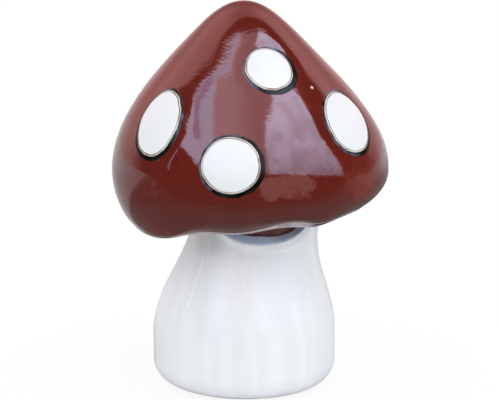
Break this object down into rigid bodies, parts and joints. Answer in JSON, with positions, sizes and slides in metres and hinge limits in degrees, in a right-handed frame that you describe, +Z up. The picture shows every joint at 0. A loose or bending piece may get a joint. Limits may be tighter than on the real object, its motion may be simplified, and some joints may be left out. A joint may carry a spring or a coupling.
{
  "type": "ceramic mushroom ornament",
  "caption": "Glazed ceramic mushroom ornament: a hollow white stem and a loose red-brown cap with a rolled, drooping rim and raised white spots, which lifts off.",
  "frame": {"origin": "on the plane that the foot stands on, on the axis of the stem's mouth and the cap's collar", "axes": "+Z up along the axis of the mouth, -Y the front, +X to the right of someone who looks at the front"},
  "size_m": [0.12, 0.1214, 0.1679],
  "materials": {
    "white_glaze": "semi-gloss white glaze with faint vertical streaks",
    "red_glaze": "high-gloss iron-red glaze, darker where it pools",
    "spot_glaze": "gloss white glaze"
  },
  "bodies": {
    "stem": {"stem": "white_glaze"},
    "cap": {"cap": "red_glaze", "spot_left": "spot_glaze", "spot_low": "spot_glaze", "spot_high": "spot_glaze", "spot_right": "spot_glaze", "spot_back_right": "spot_glaze", "spot_back_left": "spot_glaze"}
  },
  "joints": [
    {"name": "cap_lift", "type": "slide", "parent": "stem", "child": "cap", "axis": [0, 0, 1], "range_m": [0, 0.06]}
  ]
}
